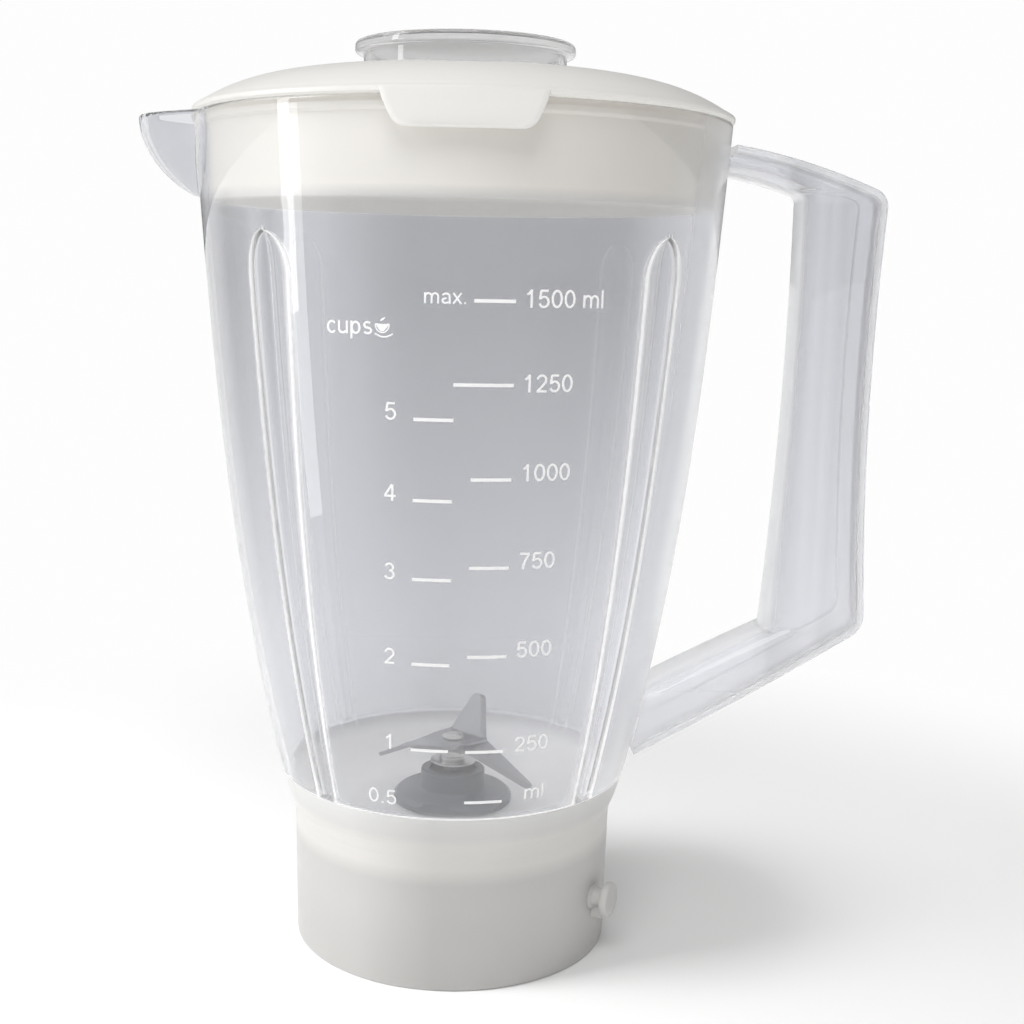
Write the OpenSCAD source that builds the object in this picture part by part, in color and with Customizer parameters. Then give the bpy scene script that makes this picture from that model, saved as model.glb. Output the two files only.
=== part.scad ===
// Blender jug with lid, filler cap and removable blade unit.
// Origin: centre of the collar's bottom edge. +Z up, +X towards the handle, -Y towards the scale.

/* [Jug] */
// Height of the jug's rim above the bottom edge
rim_z = 228; // [215:1:240]
// Height where the clear wall meets the frosted collar
seam_z = 49.3; // [48:0.1:51]
// Wall thickness of the jug
wall = 2; // [1.6:0.1:2.4]
// Outer radius at the seam
seam_r = 48.75; // [48:0.05:49.5]
// Radius of the flat part of the floor
floor_r = 28.6; // [26:0.1:30]
// Height of the inner face of the floor
floor_z = 37.5; // [37:0.1:38]
// Thickness of the floor
floor_t = 2.5; // [2:0.1:3]

/* [Flutes] */
// Height of the pointed top of each flute
flute_top = 197; // [185:1:200]
// Depth of each flute where it is widest
flute_depth = 3.4; // [2:0.1:4]
// Half width of a flute at its foot
flute_low = 3.3; // [2.5:0.1:4]
// Half width of a flute at its shoulder
flute_high = 6.8; // [5:0.1:8]

/* [Spout] */
// Distance from the axis to the tip of the spout
spout_reach = 87.3; // [84:0.1:90]
// Height of the spout's root
spout_root = 207; // [205:1:210]

/* [Collar] */
// Outer radius at the bottom edge
collar_r = 44.45; // [44:0.05:45]
// Radius of the round seat inside the collar
seat_r = 42.5; // [42:0.1:42.6]
// Height of the inner web's lower face
web_z = 32.6; // [31:0.1:33]
// Direction of the locking stud, degrees from +X
stud_angle = -27.5; // [-40:0.5:-15]

/* [Handle] */
// Width of the cover strip
cover_w = 26; // [24:0.5:28]
// Thickness of the cover strip
cover_t = 2.3; // [2:0.1:2.6]
// Width of the handle shell
shell_w = 22; // [20:0.5:23]
// Wall thickness of the handle shell
shell_t = 2.2; // [1.8:0.1:2.6]

/* [Lid] */
// Outer radius of the lid's lip
lip_r = 72.1; // [72:0.05:72.4]
// Outer radius of the skirt inside the jug
skirt_r = 67.8; // [67:0.1:67.8]
// Height of the skirt's lower edge
skirt_z = 205.3; // [204:0.1:208]
// Rise of the dome from its edge to the filler hole
dome_h = 9.5; // [8:0.1:11]
// Radius of the filler hole
hole_r = 27.5; // [27.5:0.1:28]
// Half width of a grip tab at its top
tab_half = 19.5; // [16:0.5:22]

/* [Filler cap] */
// Outer radius of the cap's wall
cap_r = 27.1; // [26.5:0.1:27.1]
// Outer radius of the cap's flange
cap_flange_r = 29.4; // [29:0.1:30]
// Height of the cap's top
cap_top = 248.1; // [247:0.1:249]

/* [Blade unit] */
// Radius of the holder's flange
holder_r = 17; // [16:0.1:18]
// Radius of the boss above the flange
boss_r = 9.2; // [9:0.1:9.6]
// Height of the boss's top
boss_z = 47.3; // [46.5:0.1:48]
// Radius of the shaft
shaft_r = 3; // [2.5:0.1:3.2]
// Radial running clearance of the shaft in its bushes
run_gap = 0.05; // [0.02:0.01:0.09]
// Height of the blades' upper face
blade_z = 56.2; // [55:0.1:57]
// Thickness of one blade
blade_t = 1.1; // [0.9:0.1:1.3]

/* [Hidden] */
$fn = 96;

wall_h = rim_z - seam_z;
// How the wall widens with height: the factors of a cubic
flare = [44.84, -32.87, 10.92];
steps = 18;
bowl_steps = 6;
// Outer radius of the step where the jug's shell meets the collar
under_r = 47.5;
// Inner radius of the collar's web
web_r = floor_r + 1.4;
floor_hole_r = 10.3;
// Gap between the lid and the jug's rim
fit_gap = 0.35;
// Gap that keeps touching bodies apart
eps = 0.05;
// How far a cutting shape reaches past what it cuts
over = 4;

// Outer radius of the jug's wall at height z
function jug_r(z) =
    let(t = (z - seam_z) / wall_h) seam_r + t * (flare[0] + t * (flare[1] + t * flare[2]));

// Points of a curve bent by one control point
function bend(a, b, c, n) =
    [for (i = [0:n]) let(t = i / n) (1 - t) * (1 - t) * a + 2 * t * (1 - t) * b + t * t * c];

// Centre of the circle through a, b and c
function arc_mid(a, b, c) =
    let(d = 2 * (a[0] * (b[1] - c[1]) + b[0] * (c[1] - a[1]) + c[0] * (a[1] - b[1])),
        a2 = a * a, b2 = b * b, c2 = c * c)
    [(a2 * (b[1] - c[1]) + b2 * (c[1] - a[1]) + c2 * (a[1] - b[1])) / d,
     (a2 * (c[0] - b[0]) + b2 * (a[0] - c[0]) + c2 * (b[0] - a[0])) / d];

// 1 where the way from a through b to c turns left, -1 where it turns right
function turn_sign(a, b, c) = sign((b[0] - a[0]) * (c[1] - b[1]) - (b[1] - a[1]) * (c[0] - b[0]));

// Points of the arc from a through b to c, moved to its left by side
function arc3(a, b, c, n, side = 0) =
    let(m = arc_mid(a, b, c), s = turn_sign(a, b, c), r = norm(a - m),
        g0 = atan2(a[1] - m[1], a[0] - m[0]), g1 = atan2(c[1] - m[1], c[0] - m[0]),
        sweep = s > 0 ? (g1 > g0 ? g1 - g0 : g1 - g0 + 360) : (g1 < g0 ? g1 - g0 : g1 - g0 - 360))
    [for (i = [0:n]) let(g = g0 + sweep * i / n) m + (r - s * side) * [cos(g), sin(g)]];

// ---- Jug ----
bowl_top = [seam_r - wall, seam_z];
bowl_pull = [38, 39.5];
bowl_end = [floor_r, floor_z];
under_z = floor_z - floor_t;
under_pull = [40.5, 38];

module jug_section() {
    polygon(concat(
        [[floor_hole_r, floor_z], [floor_hole_r, under_z]],
        bend([web_r, under_z], under_pull, [under_r, seam_z], bowl_steps),
        [for (i = [0:steps]) let(z = seam_z + wall_h * i / steps) [jug_r(z), z]],
        [for (i = [steps:-1:1]) let(z = seam_z + wall_h * i / steps) [jug_r(z) - wall, z]],
        bend(bowl_top, bowl_pull, bowl_end, bowl_steps)));
}

module jug_inside() {
    rotate_extrude()
        polygon(concat(
            [for (i = [0:steps]) let(z = seam_z + (wall_h + over) * i / steps) [jug_r(z) - wall, z]],
            [[0, rim_z + over], [0, seam_z]]));
}

module jug_outside() {
    rotate_extrude()
        polygon(concat(
            [for (i = [0:steps]) let(z = seam_z + wall_h * i / steps) [jug_r(z), z]],
            [[0, rim_z], [0, seam_z]]));
}

// Height of a flute's pointed arch
flute_arch = 22;
flute_shoulder = flute_top - flute_arch;
// Smallest share left at the flute's point, squared
flute_tip = 0.01;
// Share of a flute's full size at height z: 1 below its shoulder, falling towards 0 at its pointed top
function flute_share(z) = z < flute_shoulder ? 1 : sqrt(max(flute_tip, (flute_top - z) / flute_arch));

// Half width of a flute at height z
function flute_half(z) =
    (flute_low + (flute_high - flute_low) * (z - seam_z) / (flute_shoulder - seam_z)) * flute_share(z);

// A three-sided bar that follows the wall: its inner edge lies at depth, its two outer edges at lift
bar_steps = 14;
module wall_bar(depth, lift, widen, z0, z1) {
    n = bar_steps;
    ring = [for (i = [0:n]) let(z = z0 + (z1 - z0) * i / n, r = jug_r(z), w = flute_half(z) + widen)
            [[r - depth * flute_share(z), 0, z], [r + lift, -w, z], [r + lift, w, z]]];
    points = [for (k = [0:n]) for (j = [0:2]) ring[k][j]];
    sides = [for (k = [0:n - 1]) for (j = [0:2]) let(m = (j + 1) % 3)
             each [[3 * k + j, 3 * k + 3 + j, 3 * k + 3 + m], [3 * k + j, 3 * k + 3 + m, 3 * k + m]]];
    polyhedron(points, concat([[0, 1, 2], [3 * n, 3 * n + 2, 3 * n + 1]], sides));
}

module flutes(depth, lift, widen, z0, z1) {
    for (a = [45:90:315])
        rotate(a) wall_bar(depth, lift, widen, z0, z1);
}

spout_start = 70.5;
spout_power = 0.75;
spout_back = 56;
// Distance of the spout's front edge from the axis, for v = 0 at its root and 1 at its tip
function spout_x(v) = spout_start + (spout_reach - spout_start) * pow(1 - (1 - v) * (1 - v), spout_power);

// The spout as a solid block. Its slices join a small circle at the tip to a larger one inside the wall.
module spout_body(inset, top) {
    low = spout_root + 1.3 * inset;
    slice = 0.01;
    hull()
        for (v = [0.02, 0.12, 0.3, 0.55, 1]) {
            tip_r = 2.5 + 5 * v;
            back_r = 7 + 13 * v;
            translate([tip_r - spout_x(v) + inset, 0, low + (top - low) * v])
                cylinder(r = tip_r, h = slice, $fn = 24);
            translate([-spout_back, 0, low + (top - low) * v])
                cylinder(r = back_r - inset, h = slice, $fn = 24);
        }
}

module jug() {
    color([0.86, 0.87, 0.9, 0.45])
        difference() {
            union() {
                rotate_extrude() jug_section();
                intersection() {
                    flutes(flute_depth + wall, 0.6 - wall, 1.4, seam_z + 1, flute_top);
                    jug_inside();
                }
                difference() {
                    spout_body(0, rim_z);
                    jug_inside();
                }
            }
            flutes(flute_depth, 1, 0.6, seam_z + 1.5, flute_top - 1);
            difference() {
                spout_body(wall, rim_z + 2);
                translate([-30, 0, 0]) cylinder(r = 30, h = rim_z + over);
            }
        }
}

// ---- Handle ----
// Side view of the handle: outer edge from the jug's rim round to its foot, in X and Z
arm_start = [66, 223.8];
top_corner = [108.9, 212.8];
grip_top = [113, 207];
grip_low = [113.3, 97];
low_corner = [109.7, 90.1];
foot = [40, 49.5];
// Finger gap, in X and Z
gap_start = [62, 216.4];
gap_corner = [88.6, 210.9];
gap_top = [90.8, 208];
gap_low = [86.5, 91.6];
gap_foot = [48, 71.5];

function handle_edge(side) = concat(
    arc3(arm_start, [88.6, 219.7], top_corner, 8, side),
    arc3(top_corner + [1, -0.5], [112.1, 210.2], grip_top, 5, side),
    arc3(grip_top - [0, 1], [111.4, 152], grip_low + [0, 1], 10, side),
    arc3(grip_low, [112.4, 92.8], low_corner + [0.5, 0.3], 5, side),
    arc3(low_corner, [79.9, 71.8], foot, 8, side));

function gap_edge(side) = concat(
    arc3(gap_foot, [68, 82.2], gap_low - [1, 0.4], 4, side),
    arc3(gap_low + [0, 1], [90.2, 155], gap_top, 8, side),
    arc3(gap_top + [0, 0.5], [90.2, 210.2], gap_corner, 3, side),
    arc3(gap_corner - [1, -0.3], [76, 214.3], gap_start, 6, side));

module handle_face(outer_side, gap_side) {
    difference() {
        polygon(handle_edge(-outer_side));
        polygon(gap_edge(-gap_side));
    }
}

module side_slab(width) {
    translate([0, width / 2, 0]) rotate([90, 0, 0]) linear_extrude(width) children();
}

module handle_shell() {
    color([0.84, 0.85, 0.88, 0.55])
        difference() {
            side_slab(shell_w) handle_face(cover_t, 0);
            side_slab(shell_w - 2 * shell_t) handle_face(0, shell_t);
            jug_outside();
            base_cone(eps);
        }
}

module handle_cover() {
    color([0.88, 0.89, 0.92, 0.55])
        difference() {
            side_slab(cover_w) difference() {
                polygon(handle_edge(0));
                polygon(concat(handle_edge(-cover_t), [[30, 40], [30, rim_z + over]]));
            }
            jug_outside();
            base_cone(eps);
        }
}

// ---- Collar ----
// Where the collar's straight skirt turns out into its shoulder
kink = [45, 38];
inner_kink_r = 42.6;

// The space that the collar's shoulder takes
module base_cone(grow) {
    translate([0, 0, kink[1]])
        cylinder(r1 = kink[0] + grow, r2 = seam_r + grow, h = seam_z - kink[1] + grow);
}

module base_collar() {
    color([0.93, 0.93, 0.92, 0.85])
        union() {
            rotate_extrude()
                polygon([[seat_r, 0], [collar_r, 0], [kink[0], kink[1]], [46.4, 42], [48.05, 47.2],
                         [seam_r, seam_z], [under_r, seam_z], [inner_kink_r, kink[1]],
                         [inner_kink_r, under_z], [web_r, under_z], [web_r, web_z], [seat_r, web_z]]);
            stud();
        }
}

stud_z = 17;
stud_root = 43.6;
stud_rib = [4.2, 1.8, 4];
module stud() {
    rotate(stud_angle) {
        translate([stud_root, 0, stud_z]) rotate([0, 90, 0]) {
            cylinder(r = 3.7, h = 1.6);
            cylinder(r = 2.6, h = 4.6);
            translate([0, 0, 4.4]) cylinder(r = 4.8, h = 2.4);
        }
        translate([stud_root + 0.4, -stud_rib[1] / 2, stud_z - 5.6]) cube(stud_rib);
    }
}

// ---- Printed scale ----
// Heights of the millilitre lines, and their ends from the middle of the front
ml_z = [54.7, 69.2, 95.2, 118.2, 140.1, 182.2];
ml_x = [3, 12.6];
// Height and start of the one longer line
long_z = 162.7;
long_x = -1.5;
// Heights and ends of the cup lines
cups_z = [69.4, 92.9, 115, 134.7, 154.3];
cups_x = [-10.7, -1.3];
ink = 0.15;
line_h = 0.8;

module mark(x0, x1, z) {
    r = jug_r(z + line_h / 2) + eps / 2;
    a0 = asin(x0 / r);
    rotate(-90 + a0)
        rotate_extrude(angle = asin(x1 / r) - a0)
            translate([r, z - line_h / 2]) square([ink, line_h]);
}

module scale_marks() {
    color("white") {
        for (z = ml_z) mark(ml_x[0], ml_x[1], z);
        for (z = cups_z) mark(cups_x[0], cups_x[1], z);
        mark(long_x, ml_x[1], long_z);
    }
}

// ---- Lid ----
dome_z = 229.3;
dome_reach = [28, 71.7];
dome_power = 3.2;
// Raised ring round the filler hole
ring_r = 30.2;
ring_z = 240.2;
// Tube below the filler hole, with the ledge that the cap stands on
tube_z = 220.5;
tube_r = hole_r + 1.8;
ledge_r = hole_r - 2.5;
ledge_z = 222;
lid_t = 2.2;
skirt_t = 2;
// Sealing bead of the lid, above its skirt
bead_r = 69.1;
bead_z = 225.2;
neck_r = 68.4;

// Height of the dome at radius r
function dome(r) =
    dome_z + dome_h * (1 - pow((r - dome_reach[0]) / (dome_reach[1] - dome_reach[0]), dome_power));

module lid_section() {
    polygon(concat(
        [[lip_r, rim_z + eps], [lip_r, 229.2], [lip_r - 0.6, 229.9]],
        [for (i = [0:9]) let(r = 70.4 - (70.4 - ring_r) * i / 9) [r, dome(r) + 0.1]],
        [[ring_r, ring_z - 0.5], [ring_r - 0.5, ring_z], [hole_r, ring_z], [hole_r, ledge_z],
         [ledge_r, ledge_z], [ledge_r, tube_z], [tube_r, tube_z]],
        [for (i = [0:7]) let(r = tube_r + (66 - tube_r) * i / 7) [r, dome(r) - lid_t]],
        [[skirt_r - skirt_t, 228], [skirt_r - skirt_t, skirt_z], [skirt_r, skirt_z],
         [skirt_r, bead_z - 0.6], [bead_r, bead_z], [bead_r, bead_z + 1.4],
         [neck_r, bead_z + 2], [neck_r, rim_z + eps]]));
}

// Outline of a grip tab, seen from outside, with rounded lower corners
tab_low = 220.5;
tab_high = 229;
tab_round = 4.5;
tab_slope = 4;
tab_t = 2.6;
module tab_face() {
    c = tab_half - tab_slope - tab_round;
    polygon(concat(
        [[-tab_half, tab_high], [0.6 - tab_half, tab_high - 2.4]],
        [for (a = [190:20:270]) [-c + tab_round * cos(a), tab_low + tab_round + tab_round * sin(a)]],
        [for (a = [270:20:350]) [c + tab_round * cos(a), tab_low + tab_round + tab_round * sin(a)]],
        [[tab_half - 0.6, tab_high - 2.4], [tab_half, tab_high]]));
}

module grip_tabs() {
    intersection() {
        rotate_extrude() translate([jug_r(rim_z) + fit_gap, tab_low]) square([tab_t, tab_high - tab_low]);
        side_slab(2 * rim_z) tab_face();
    }
}

// Ball that scoops a finger hollow out of the dome above each grip tab
scoop_r = 42;
scoop_y = 48;
scoop_z = 237.2;
module lid() {
    color([0.93, 0.92, 0.89])
        difference() {
            union() {
                rotate_extrude() lid_section();
                grip_tabs();
            }
            for (a = [0, 180])
                rotate(a) translate([0, -scoop_y, scoop_z + scoop_r - 1]) sphere(r = scoop_r);
        }
}

// ---- Filler cap ----
// Thickness of the cap's flange, of its wall, and of its top, which is sunk a little
flange_t = 2.9;
cap_t = 1.8;
cap_sunk = 0.9;
module filler_cap() {
    low = cap_top - flange_t;
    color([0.88, 0.88, 0.9, 0.5])
        rotate_extrude()
            polygon([[0, cap_top - cap_sunk], [cap_r - 1, cap_top - cap_sunk], [cap_r - 0.4, cap_top],
                     [cap_flange_r - 0.7, cap_top], [cap_flange_r, cap_top - 0.8],
                     [cap_flange_r, low + 0.8], [cap_flange_r - 0.8, low], [cap_r, low],
                     [cap_r, ledge_z + eps], [cap_r - cap_t, ledge_z + eps],
                     [cap_r - cap_t, low + 0.1], [0, low + 0.1]]);
}

// ---- Blade unit: the still parts ----
stem_r = 10;
stem_z = 24.2;
flange_z = 38.3;
bush_r = 5;
// Recess for the shaft's lip seal
seal_r = 6.6;
seal_z = 44.4;
// Dimples of the flange
dimple_r = 1.3;
dimple_at = 13.2;
// How far a flat is cut into the flange
flat_cut = 1.5;

module blade_holder() {
    color([0.5, 0.53, 0.56])
        difference() {
            rotate_extrude()
                polygon([[bush_r, stem_z], [stem_r, stem_z], [stem_r, flange_z], [holder_r, flange_z],
                         [holder_r, 39.9], [holder_r - 1.4, 41.1], [boss_r + 0.5, 41.5], [boss_r, 42],
                         [boss_r, boss_z - 0.4], [boss_r - 0.4, boss_z], [seal_r, boss_z],
                         [seal_r, seal_z], [bush_r, seal_z]]);
            for (a = [75, 255])
                rotate(a) translate([holder_r - flat_cut, -holder_r, flange_z - 1])
                    cube([holder_r, 2 * holder_r, 6]);
            for (a = [38:90:308])
                rotate(a) translate([dimple_at, 0, 40.4]) cylinder(r = dimple_r, h = 3);
        }
}

module ring(inner, outer, z0, z1) {
    difference() {
        translate([0, 0, z0]) cylinder(r = outer, h = z1 - z0);
        translate([0, 0, z0 - 1]) cylinder(r = inner, h = z1 - z0 + 2);
    }
}

module floor_seal() {
    color([0.35, 0.36, 0.38]) ring(stem_r, holder_r - 1.6, floor_z + eps / 2, flange_z);
}

module upper_bush() {
    color("peru") ring(shaft_r + run_gap, bush_r, seal_z - 6.2, seal_z - 0.2);
}

module lower_bush() {
    color("peru") ring(shaft_r + run_gap, bush_r, stem_z + 0.2, stem_z + 6.2);
}

module shaft_seal() {
    color([0.2, 0.2, 0.22]) ring(shaft_r + run_gap, seal_r, seal_z, seal_z + 2.2);
}

nut_top = under_z - eps;
nut_h = 6.5;
nut_r = 13;
nut_flange = [17, 2.4];
nut_lug = [6, 3, nut_h];
module locking_nut() {
    color([0.62, 0.64, 0.67])
        difference() {
            union() {
                translate([0, 0, nut_top - nut_h]) cylinder(r = nut_r, h = nut_h);
                translate([0, 0, nut_top - nut_flange[1]]) cylinder(r = nut_flange[0], h = nut_flange[1]);
                for (a = [0:60:300])
                    rotate(a) translate([nut_r - 1, -nut_lug[1] / 2, nut_top - nut_h]) cube(nut_lug);
            }
            translate([0, 0, nut_top - nut_h - 1]) cylinder(r = stem_r + run_gap, h = nut_h + 2);
        }
}

// ---- Blade unit: the turning parts ----
shoulder_z = 49.3;
stub_r = 2.2;
washer_t = 0.6;
clip_z = 22.9;
clip_t = 0.8;
clip_groove_r = shaft_r - 0.5;
insert_z = [14.6, 21];

module blade_shaft() {
    color([0.75, 0.76, 0.78])
        difference() {
            union() {
                translate([0, 0, insert_z[0]]) cylinder(r = shaft_r, h = shoulder_z - insert_z[0]);
                translate([0, 0, shoulder_z]) cylinder(r = stub_r, h = blade_z - shoulder_z);
            }
            ring(clip_groove_r, shaft_r + 1, clip_z, clip_z + clip_t);
        }
}

module splash_washer() {
    color([0.8, 0.81, 0.82]) ring(stub_r, 6.5, shoulder_z, shoulder_z + washer_t);
}

module blade_spacer() {
    color([0.85, 0.84, 0.8]) ring(stub_r, 3.9, shoulder_z + washer_t, blade_z - 2 * blade_t);
}

// One blade's wing: a flat trapezium that turns about the plate's lower edge to bend up by tilt,
// and about its upper edge to bend down. Its root is sunk a little into the plate.
wing_sink = 0.15;
wing_back = 0.12;
module wing(root, length, w0, w1, tilt) {
    pivot = tilt > 0 ? wing_sink : blade_t - wing_sink;
    translate([root, 0, pivot]) rotate([0, -tilt, 0]) translate([0, 0, tilt > 0 ? 0 : -blade_t])
        linear_extrude(blade_t)
            polygon([[-wing_back, -w0 / 2], [length * 0.9, -w1 / 2 - 0.6], [length, -w1 / 2 + 0.6],
                     [length, w1 / 2], [-wing_back, w0 / 2]]);
}

// Directions of the two blades, degrees from +X
lower_turn = -32;
upper_turn = 45;

module lower_blade() {
    color([0.72, 0.73, 0.75])
        translate([0, 0, blade_z - 2 * blade_t])
            rotate(lower_turn)
                difference() {
                    union() {
                        linear_extrude(blade_t)
                            polygon([[-8, -5.6], [0, -6.4], [8, -5.6], [8, 5.6], [0, 6.4], [-8, 5.6]]);
                        for (a = [0, 180])
                            rotate(a) wing(8, 19, 11.2, 2.6, -25.5);
                    }
                    translate([0, 0, -over]) cylinder(r = stub_r, h = 2 * over);
                }
}

module upper_blade() {
    color([0.76, 0.77, 0.79])
        translate([0, 0, blade_z - blade_t])
            rotate(upper_turn)
                difference() {
                    union() {
                        linear_extrude(blade_t)
                            polygon([[-7.6, -5.8], [0, -7.2], [6.4, -7.3],
                                     [6.4, 7.3], [0, 7.2], [-7.6, 5.8]]);
                        wing(6.4, 12.6, 14.6, 3.8, 68);
                        rotate(180) wing(7.6, 10.5, 11.6, 5, 12);
                    }
                    translate([0, 0, -over]) cylinder(r = stub_r, h = 2 * over);
                }
}

module blade_rivet() {
    color([0.7, 0.71, 0.73])
        rotate_extrude()
            polygon([[0, blade_z], [3.2, blade_z], [3.2, blade_z + 0.5], [2.4, blade_z + 1.1],
                     [0, blade_z + 1.3]]);
}

module thrust_washer() {
    color([0.3, 0.3, 0.32]) ring(shaft_r, 4.8, clip_z + clip_t, stem_z - 0.1);
}

module circlip() {
    color([0.55, 0.56, 0.58])
        difference() {
            ring(clip_groove_r, 4.4, clip_z, clip_z + clip_t);
            translate([1, -0.8, clip_z - 1]) cube([6, 1.6, clip_t + 2]);
        }
}

hex_r = 5.6;
coupling_r = 9.5;
coupling_z = [8, 22];
// Socket for the drive dogs: a round hole with slots
socket_r = 5;
dog = [4.6, 2.8, 6];
module coupling_insert() {
    color([0.78, 0.72, 0.5])
        difference() {
            translate([0, 0, insert_z[0]]) cylinder(r = hex_r, h = insert_z[1] - insert_z[0], $fn = 6);
            translate([0, 0, insert_z[0] - 1]) cylinder(r = shaft_r, h = insert_z[1] - insert_z[0] + 2);
        }
}

module drive_coupling() {
    color([0.16, 0.16, 0.18])
        difference() {
            translate([0, 0, coupling_z[0]]) cylinder(r = coupling_r, h = coupling_z[1] - coupling_z[0]);
            translate([0, 0, insert_z[0]]) cylinder(r = hex_r, h = insert_z[1] - insert_z[0], $fn = 6);
            translate([0, 0, insert_z[1] - 1]) cylinder(r = shaft_r, h = 4);
            translate([0, 0, coupling_z[0] - 1])
                cylinder(r = socket_r, h = insert_z[0] - coupling_z[0] + 1);
            for (a = [0:60:300])
                rotate(a) translate([socket_r - 2, -dog[1] / 2, coupling_z[0] - 1]) cube(dog);
        }
}

jug();
handle_shell();
handle_cover();
base_collar();
scale_marks();
lid();
filler_cap();
blade_holder();
floor_seal();
upper_bush();
lower_bush();
shaft_seal();
locking_nut();
blade_shaft();
splash_washer();
blade_spacer();
lower_blade();
upper_blade();
blade_rivet();
thrust_washer();
circlip();
coupling_insert();
drive_coupling();
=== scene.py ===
"""Looks of the blender jug: detailed meshes, procedural materials, stage, lights and camera."""
import math

import bmesh
import bpy
import numpy as np
from mathutils import Matrix, Vector


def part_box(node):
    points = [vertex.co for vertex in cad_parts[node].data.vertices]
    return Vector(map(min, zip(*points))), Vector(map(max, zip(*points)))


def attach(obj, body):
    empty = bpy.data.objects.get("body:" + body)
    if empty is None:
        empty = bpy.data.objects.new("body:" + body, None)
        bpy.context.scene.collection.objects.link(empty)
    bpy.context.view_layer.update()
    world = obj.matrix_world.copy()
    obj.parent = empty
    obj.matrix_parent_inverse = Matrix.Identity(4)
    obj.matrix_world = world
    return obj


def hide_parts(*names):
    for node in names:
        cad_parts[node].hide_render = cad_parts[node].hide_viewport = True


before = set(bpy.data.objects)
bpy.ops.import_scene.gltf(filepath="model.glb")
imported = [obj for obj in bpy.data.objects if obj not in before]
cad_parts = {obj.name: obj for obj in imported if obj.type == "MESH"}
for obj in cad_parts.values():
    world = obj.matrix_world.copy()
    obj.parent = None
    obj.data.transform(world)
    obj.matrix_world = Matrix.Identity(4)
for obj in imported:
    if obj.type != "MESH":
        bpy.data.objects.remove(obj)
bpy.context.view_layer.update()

# ---------------------------------------------------------------- sizes, in metres
MM = 0.001
TAU = 2 * math.pi


def top_of(node):
    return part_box(node)[1].z


def foot_of(node):
    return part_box(node)[0].z


RIM_Z = top_of("jug")
SEAM_Z = top_of("base_collar")
SEAM_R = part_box("base_collar")[1].x
SPOUT_TIP = -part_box("jug")[0].x
UNDER_Z = foot_of("jug")
FLOOR_Z = UNDER_Z + 2.5 * MM
SKIRT_Z = foot_of("lid")
WALL = 2 * MM
RIM_ROUND = 0.9 * MM
FLARE = (44.84 * MM, -32.87 * MM, 10.92 * MM)

# Angle of each flute's point, how far it reaches to either side (foot, shoulder), and its depth share
FLUTES = ((45, (4.0, 5.6), (4.0, 5.6), 0.3), (135, (4.0, 5.6), (4.0, 5.6), 0.3),
          (226.0, (3.2, 4.6), (5.3, 7.4), 1.0), (316.4, (5.9, 6.4), (3.0, 4.7), 1.0))
FLUTE_TOP = 197.6 * MM
FLUTE_ARCH = 10.5 * MM
FLUTE_DEPTH = 2.5 * MM
FLUTE_TIP = 0.09

SPOUT_ROOT = 206.5 * MM
SPOUT_SPREAD = math.radians(19)

HANDLE_WIDTH = 22 * MM
COVER_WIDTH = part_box("handle_cover")[1].y * 2
COVER_T = 2.3 * MM
SHELL_T = 2.2 * MM
GRIP_HIGHLIGHT_BANDS = (86 * MM, 113 * MM)


# ---------------------------------------------------------------- mesh helpers
def jug_radius(z):
    """Outer radius of the jug's wall at height z."""
    t = (z - SEAM_Z) / (RIM_Z - SEAM_Z)
    return SEAM_R + t * (FLARE[0] + t * (FLARE[1] + t * FLARE[2]))


def near_wall(z):
    """The wall's outer radius at the height nearest to z that it has."""
    return jug_radius(min(max(z, SEAM_Z), RIM_Z))


def grid_faces(rows, cols, wrap_rows=False, wrap_cols=False):
    """Quads of a grid of rows by cols points."""
    faces = []
    for r in range(rows if wrap_rows else rows - 1):
        for c in range(cols if wrap_cols else cols - 1):
            r1, c1 = (r + 1) % rows, (c + 1) % cols
            faces.append((r * cols + c, r * cols + c1, r1 * cols + c1, r1 * cols + c))
    return faces


def rounded(corners, steps=5):
    """Outline in metres through (x, y, radius) corners in millimetres, each rounded by its radius."""
    points = []
    count = len(corners)
    for i, (x, y, radius) in enumerate(corners):
        here = np.array([x, y], float)
        if radius <= 0:
            points.append(here * MM)
            continue
        to_last = np.array(corners[i - 1][:2]) - here
        to_next = np.array(corners[(i + 1) % count][:2]) - here
        len_last, len_next = np.linalg.norm(to_last), np.linalg.norm(to_next)
        to_last, to_next = to_last / len_last, to_next / len_next
        half = math.acos(max(-1, min(1, float(to_last @ to_next)))) / 2
        reach = min(radius / math.tan(half), 0.49 * len_last, 0.49 * len_next)
        begin, end = here + to_last * reach, here + to_next * reach
        for k in range(steps + 1):
            t = k / steps
            points.append(((1 - t) ** 2 * begin + 2 * t * (1 - t) * here + t * t * end) * MM)
    return np.array(points)


def tube(rows):
    """Points and faces of a tube through rows of points, closed by flat ends."""
    points = [p for row in rows for p in row]
    cols = len(rows[0])
    faces = grid_faces(len(rows), cols, wrap_cols=True)
    return points, faces + [tuple(range(cols)), tuple(range(len(points) - cols, len(points)))]


def plate(outline, z0, z1):
    """A flat plate between two heights from an outline in metres."""
    return tube([[(x, y, z) for x, y in outline] for z in (z0, z1)])


def turned(profile, segments):
    """Points of an (r, z) profile turned about Z, one ring after the other."""
    return [(r * math.cos(TAU * k / segments), r * math.sin(TAU * k / segments), z)
            for r, z in profile for k in range(segments)]


def lathe(profile, segments=128):
    """Points and faces of a closed (r, z) profile turned about Z."""
    return turned(profile, segments), grid_faces(len(profile), segments, wrap_rows=True, wrap_cols=True)


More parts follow.
